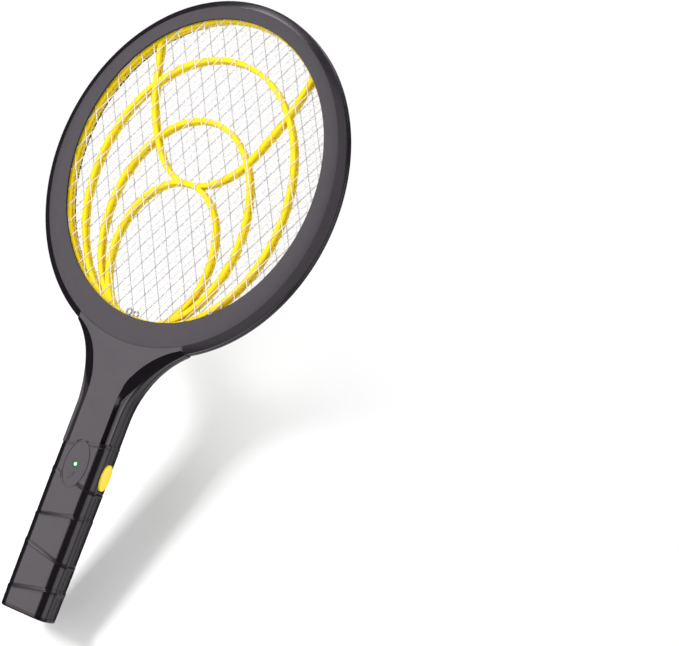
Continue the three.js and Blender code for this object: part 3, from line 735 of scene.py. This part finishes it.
def handle_rings(stations, wall, detail):
    """Rings of points up the handle, with a raised plate on the neck's front and a rounded rear."""
    plate = 47 if detail else 3
    rings = []
    for z in stations:
        width = flare(NECK_WIDTH, z, *SIDE_FLARE) - wall
        flat = flare(FLAT, z, *PLATE_FLARE) - wall * 0.4
        xs = flat * np.linspace(1, -1, plate + 2)
        neck = smoothstep(z, GRIP_TOP[0], GRIP_TOP[0] + 0.4)
        halves = []
        for front in (True, False):
            drop = smoothstep(ring_distance(xs, z), -0.5, PLATE_DROP)
            depth = RING_FACE + (NECK_DEPTH - RING_FACE) * drop - wall
            corner = [(flat + (width - flat) * math.cos(t), SIDE + (depth[0] - SIDE) * math.sin(t))
                      for t in np.linspace(0, math.pi / 2, 16)[:-1]]
            if front:
                shelf = shelf_corner(z, width, flat, depth[0], wall)
                corner = (1 - neck) * np.array(corner) + neck * np.array(shelf)
            side = [(width, 0.0), (width, 0.5), (width, 0.5 * SIDE)] if detail else [(width, 0.2)]
            right = np.concatenate([side, corner])
            loop = np.concatenate([right, np.stack([xs, depth], 1), right[::-1] * [-1, 1]])
            halves.append(loop * [1, -1 if front else 1])
        front, rear = halves
        rear = rear[::-1]
        if detail:
            rear = rear[1:-1]
        loop = np.concatenate([front, rear])
        rings.append(np.column_stack([loop, np.full(len(loop), z)]))
    return np.array(rings)


def shelf_corner(z, width, flat, depth, wall):
    """In from the neck's side: a rounded edge, a narrow shelf and the slope up to the plate."""
    shelf = LEDGE + (LEDGE_TOP - LEDGE) * smoothstep(z, *LEDGE_DROP) - wall
    edge = min(LEDGE_EDGE, (width - flat) * 0.3)
    brow = width - edge
    foot = flat + 0.6 - wall * 0.4 + (brow - flat - 0.6) * smoothstep(z, *FOOT_FADE)
    gutter = shelf - 0.12 * (brow - foot)
    arc = np.linspace(0, math.pi / 2, 7)
    slope = (0.2, 0.4, 0.6, 0.8, 0.95)
    points = [(brow + edge * math.cos(t), shelf - edge + edge * math.sin(t)) for t in arc]
    points += [(brow + (foot - brow) * t, shelf + (gutter - shelf) * t) for t in (0.4, 0.75, 1)]
    points += [(foot + (flat - foot) * t, gutter + (depth - gutter) * t) for t in slope]
    return points


def wrap_stations():
    """Heights on the centre line and how far the surface stands out there, closest at each step."""
    rise, step = WRAP_RISE, WRAP_STEP
    wrap = [(-0.6, 0.0), (-0.35, -0.16), (-0.1, -0.16), (0.0, 0.0), (0.4, 0.13), (0.8, 0.28),
            (rise, step), (rise + 0.1, step - 0.14), (rise + 0.3, step - 0.14), (rise + 0.5, step)]
    end = [(0, -1.3), (0.12, -0.8), (0.4, -0.4), (0.8, -0.1), (1.3, 0.0), (2.0, 0.05),
           (2.2, -0.25), (2.5, -0.25), (2.7, 0.05)]
    groove = [(-2.2, 0.0), (-2.0, -0.2), (-1.7, -0.2), (-1.5, 0.0), (-0.6, 0.05), (-0.15, 0.0),
              (0, -0.2)]
    rows = [(END_Z + up, out) for up, out in end]
    low = rows[-1][0]
    for top in sorted(wrap_top for wrap_top, _ in WRAPS):
        plain = np.arange(low + 1, top - rise - 1.4, 1.0)
        rows += [(z, 0.15 * (z - low) / (top - low)) for z in plain]
        rows += [(top - down, out) for down, out in reversed(wrap)]
        low = top + 1
    rim = GRIP_TOP[0]
    rows += [(z, 0.0) for z in np.arange(low + 1, rim - 3, 0.5)]
    rows += [(rim + up, out) for up, out in groove]
    rows += [(rim + up, -GRIP_OUT) for up in (0.05, 0.5, 1.5)]
    return rows


def slant(z):
    """How steeply the row at this height crosses the grip."""
    top, rise = GRIP_TOP
    knots = sorted([(END_Z, 0), (END_Z + 3, 0), *WRAPS, GRIP_TOP, (top + 1.6, rise), (74, 0)])
    return np.interp(z, [k[0] for k in knots], [k[1] for k in knots])


def outer_handle(name):
    """The grip's rows slant with its steps, and each point then moves out along its normal."""
    rows = wrap_stations()
    neck = (*np.arange(rows[-1][0] + 0.8, 84, 1.2), *np.arange(84, NECK_TOP, 0.8))
    rows += [(z, -GRIP_OUT) for z in neck]
    stations = np.array([r[0] for r in rows])
    rings = handle_rings(stations, 0, True)
    x, y = rings[..., 0], rings[..., 1]
    ahead = np.roll(rings, -1, 1) - np.roll(rings, 1, 1)
    normal = np.stack([-ahead[..., 1], ahead[..., 0]], -1)
    normal /= np.maximum(np.linalg.norm(normal, axis=-1, keepdims=True), 1e-9)
    normal *= np.sign((normal * rings[..., :2]).sum(-1).mean())
    rings[..., 2] += slant(stations)[:, None] * x
    out = np.array([r[1] + GRIP_OUT for r in rows])[:, None] + 0 * x
    inside = np.hypot(x / (EMBLEM_A + 0.6), (rings[..., 2] - EMBLEM_Z) / (EMBLEM_B + 0.6))
    pad = (y < 0) * (1 - smoothstep(inside, 0.97, 1.04)) * (np.abs(x) < 11)
    out = out * (1 - pad) + EMBLEM_OUT * pad
    out -= 0.4 * np.clip(1 - np.abs(y) / 0.5, 0, 1)
    rings[..., 0] += normal[..., 0] * out
    rings[..., 1] += normal[..., 1] * out
    return grid_loft(name, rings, smooth_angle=24)


def inner_handle(name):
    stations = [END_Z + WALL, 56, 61, 81, 86, 92, 98, 104, 109, 114, 120, 126, 131, NECK_TOP + 4]
    return grid_loft(name, handle_rings(stations, WALL, False))


def ring_space(name):
    """The room that the ring takes up in the handle's top."""
    flank, grow = RING_FACE - CHAMFER_DEEP + 0.25, 0.22
    edge = grow - CHAMFER_WIDE
    front = [(edge, RING_FACE + 5), (edge, RING_FACE - 0.05), (grow, flank)]
    layers = front + [(g, -y) for g, y in reversed(front)]
    outline = [(math.cos(t), math.sin(t)) for t in around(288)]
    return grid_loft(name, [[((RING_A + g) * c, y, RING_Z + (RING_B + g) * s) for c, s in outline]
                            for g, y in layers])


def oval_x(name, long, wide, layers, z, steps=56):
    """An oval bar's outline in Y and Z, fuller than an ellipse, at several (x, grow) layers."""
    full = lambda v: np.sign(v) * np.abs(v) ** 0.86
    outline = [(full(math.sin(t)), full(math.cos(t))) for t in around(steps)]
    rings = [[(x, (wide / 2 + grow) * u, z + (long / 2 + grow) * v) for u, v in outline]
             for x, grow in layers]
    return grid_loft(name, rings, smooth_angle=28)


def build_emblem(shell):
    """A raised oval outline round the LED, and a plain zigzag below it."""
    face = -NECK_DEPTH - EMBLEM_OUT
    section = ((-0.55, face + 0.6), (-0.3, face - 0.3), (0.3, face - 0.3), (0.55, face + 0.6))
    rings = []
    for t in around(120):
        out = np.array([math.cos(t) / EMBLEM_A, math.sin(t) / EMBLEM_B])
        out /= np.linalg.norm(out)
        p = ellipse_point(EMBLEM_A, EMBLEM_B, EMBLEM_Z, t)
        rings.append([(p[0] + out[0] * w, y, p[1] + out[1] * w) for w, y in section])
    boolean(shell, grid_loft("outline", rings, closed=True), "UNION")
    zigzag = [(1.6, 3.4), (-2.2, -0.4), (0.1, -0.5), (-2.6, -4.2), (2.4, 0.4), (0.2, 0.6), (2.8, 3.4)]
    scale, x0, z0 = 0.8, -0.3, EMBLEM_Z - 7.6
    layers = [[(scale * x + x0, y, z0 + scale * z) for x, z in zigzag]
              for y in (face + 0.4, face - 0.25)]
    boolean(shell, grid_loft("bolt", layers), "UNION")


def upright(name, x, half, y0, y1, z0, z1):
    """A block with its middle at x."""
    return block(name, x - half, x + half, y0, y1, z0, z1)


def add_door_rails(door, rear):
    """Rails along both edges of the door, a catch at its top, and the ways cut for the rails."""
    low, start, end = DOOR_LOW[1], DOOR_TOP - 56, DOOR_TOP - 4
    for k in (-1, 1):
        rail = upright("rail", k * RAIL_X, RAIL_HALF, low + 1.5, low + 2.4, start, end)
        hook = upright("hook", k * HOOK_X, HOOK_HALF, low, low + 1.7, start, end)
        way = upright("way", k * WAY_X, WAY_HALF, low - 0.3, low + 2.8, END_Z - 3, END_Z + 3)
        boolean(door, rail, "UNION")
        boolean(door, hook, "UNION")
        boolean(rear, way, "DIFFERENCE")
    root = upright("catch root", 0, CATCH_X, CATCH_Y[0], 9, DOOR_TOP - 3, DOOR_TOP - 0.5)
    catch = upright("catch", 0, CATCH_X, *CATCH_Y, DOOR_TOP - 2.8, DOOR_TOP + 3)
    boolean(door, root, "UNION")
    boolean(door, catch, "UNION")


def build_shells():
    front = outer_handle("front_handle_shell_look")
    boolean(front, inner_handle("hollow"), "DIFFERENCE")
    boolean(front, ring_space("ring"), "DIFFERENCE")
    rear = front.copy()
    rear.data = front.data.copy()
    rear.name = "rear_handle_shell_look"
    door = rear.copy()
    door.data = rear.data.copy()
    door.name = "battery_door_look"
    for obj in (rear, door):
        bpy.context.scene.collection.objects.link(obj)
    big, below, above = 70, END_Z - 9, NECK_TOP + 9
    door_edge, gap_edge = DOOR_LOW[1] + 1.4, DOOR_LOW[1] + 1.25
    boolean(front, upright("half", 0, big, -big, -SEAM, below, above), "INTERSECT")
    boolean(rear, upright("half", 0, big, SEAM, big, below, above), "INTERSECT")
    boolean(door, upright("half", 0, big, door_edge, big, below, DOOR_TOP), "INTERSECT")
    boolean(rear, upright("way", 0, big, gap_edge, big, below, DOOR_TOP + 0.2), "DIFFERENCE")
    add_door_rails(door, rear)
    hole = [(12, 0.35), (GRIP_WIDTH - 0.5, 0.35), (GRIP_WIDTH + 0.4, 0.9), (30, 0.9)]
    for shell in (front, rear):
        boolean(shell, oval_x("hole", BUTTON_LONG, BUTTON_WIDE, hole, BUTTON_Z), "DIFFERENCE")
    lens_hole = lathe("hole", [(0, 0), (LENS + 0.1, 0), (LENS + 0.1, 9)], (0, -5.2, LED_Z), (0, -1, 0))
    boolean(front, lens_hole, "DIFFERENCE")
    build_emblem(front)
    for node in HANDLE_SCREWS:
        add_boss(rear, node, 3.2, 0.2, 8.6)
    sink_holes(rear, HANDLE_SCREWS, 1.9)
    for obj in (front, rear, door):
        tidy_mesh(obj, 24)
    dress(front, HANDLE_BLACK, replaces=["front_handle_shell"])
    dress(rear, HANDLE_BLACK, replaces=["rear_handle_shell"])
    dress(door, HANDLE_BLACK, "door", ["battery_door"])


def build_button():
    """A domed oval cap."""
    out = BUTTON_HIGH[0]
    layers = [(BUTTON_LOW[0], -0.05), (out - 1.3, 0), (out - 0.95, -0.1), (out - 0.65, -0.4),
              (out - 0.4, -0.95), (out - 0.2, -1.8), (out - 0.07, -2.9), (out, -4.2)]
    cap = oval_x("power_button_look", BUTTON_LONG, BUTTON_WIDE, layers, BUTTON_Z)
    dress(cap, BUTTON_YELLOW, "button", ["power_button"])


def build_led():
    """A low domed lens in its barrel, with two square legs down to the board."""
    base, leg_x, leg_half = -NECK_DEPTH - EMBLEM_OUT + 1.25, 1.27, 0.28
    dome = [(LENS * math.cos(t), 0.7 * math.sin(t) + 0.8) for t in np.linspace(0, math.pi / 2, 9)]
    profile = [(0, -3.5), (LENS, -3.5), *dome]
    led = lathe("indicator_led_look", profile, (0, base, LED_Z), (0, -1, 0), 40, 50)
    for k in (-1, 1):
        leg = upright("leg", k * leg_x, leg_half, base + 3.3, 0.75, LED_Z - leg_half, LED_Z + leg_half)
        boolean(led, leg, "UNION")
    tidy_mesh(led, 50)
    dress(led, led_material(), replaces=["indicator_led"])


# ---- Battery bay ----
def build_cells():
    sleeve = sleeve_material()
    for node, up in (("aa_cell_right", 1), ("aa_cell_left", -1)):
        low, high = box_mm(node)
        x, y = (low[0] + high[0]) / 2, (low[1] + high[1]) / 2
        base, length = (low[2] if up > 0 else high[2]), high[2] - low[2]
        r, body = CELL_RADIUS, length - CELL_NUB
        profile = [(0, 0.25), (5.2, 0.25), (5.6, 0), (r - 0.35, 0), (r, 0.4), (r, body - 0.5),
                   (r - 0.4, body), (r - 1.4, body), (r - 1.7, body - 0.25), (3.3, body - 0.25),
                   (2.75, body), (2.7, length - 0.3), (2.4, length), (0, length)]
        cell = lathe(node + "_look", profile, (x, y, base), (0, 0, up), 64)
        dress(cell, sleeve, replaces=[node])
        cell.data.materials.append(PLATED)
        for face in cell.data.polygons:
            centre = face.center / MM
            if math.hypot(centre[0] - x, centre[1] - y) < r - 0.5:
                face.material_index = 1


def build_springs():
    for node, up in (("bottom_cell_spring", 1), ("top_cell_spring", -1)):
        low, high = box_mm(node)
        height = high[2] - low[2] - 0.8
        start = low[2] + 0.4 if up > 0 else high[2] - 0.4
        rings = []
        for t in np.linspace(0, 1, 150):
            angle, r = t * SPRING_TURNS * 2 * math.pi, SPRING_WIDE + (SPRING_NARROW - SPRING_WIDE) * t
            out = np.array([math.cos(angle), math.sin(angle), 0])
            centre = np.array([up * SPRING_X, SPRING_Y, start + up * height * t]) + r * out
            rings.append([centre + SPRING_WIRE * (math.cos(q) * out + math.sin(q) * np.array([0, 0, 1]))
                          for q in around(10)])
        spring = grid_loft(node + "_look", rings, smooth_angle=60)
        dress(spring, PLATED, replaces=[node])


# ---- CAD nodes that keep their shape ----
KEPT = {
    "bridge_contact": PLATED, "positive_contact": PLATED, "negative_contact": PLATED,
    "circuit_board": BOARD, "transformer_core": COMPONENT, "transistor": COMPONENT,
    "push_switch_body": COMPONENT, "push_switch_plunger": TAN, "high_voltage_capacitor": TAN,
    "rectifier_diode_1": COMPONENT, "rectifier_diode_2": COMPONENT, "rectifier_diode_3": COMPONENT,
    "led_resistor": TAN, "discharge_resistor": TAN,
    "positive_lead": RED_WIRE, "outer_net_lead": RED_WIRE,
    "negative_lead": BLACK_WIRE, "centre_net_lead": BLACK_WIRE,
}


def paint_kept():
    for node, material in KEPT.items():
        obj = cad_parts[node]
        obj.data.materials.clear()
        obj.data.materials.append(material)


front_ring = build_rings()
light_only(add_area("ring softbox", 10, 0, 1.7, (2.4, 4.0), 1.4), [front_ring])
build_frames()
build_net("front_net", WIRE, -NET_Y, OUTER_CELL, radius=0.3, sides=6, piece=8.0, wobble=0.16)
build_net("rear_net", FINE_WIRE, NET_Y, OUTER_CELL, radius=0.24, sides=6, piece=8.0, wobble=0.16)
build_net("centre_net", FINE_WIRE, 0, CENTRE_CELL, radius=0.21, sides=4, piece=12.0, wobble=0.12)
build_terminals()
build_shells()
build_button()
build_led()
build_cells()
build_springs()
for screw in RING_SCREWS + HANDLE_SCREWS:
    make_screw(screw)
paint_kept()
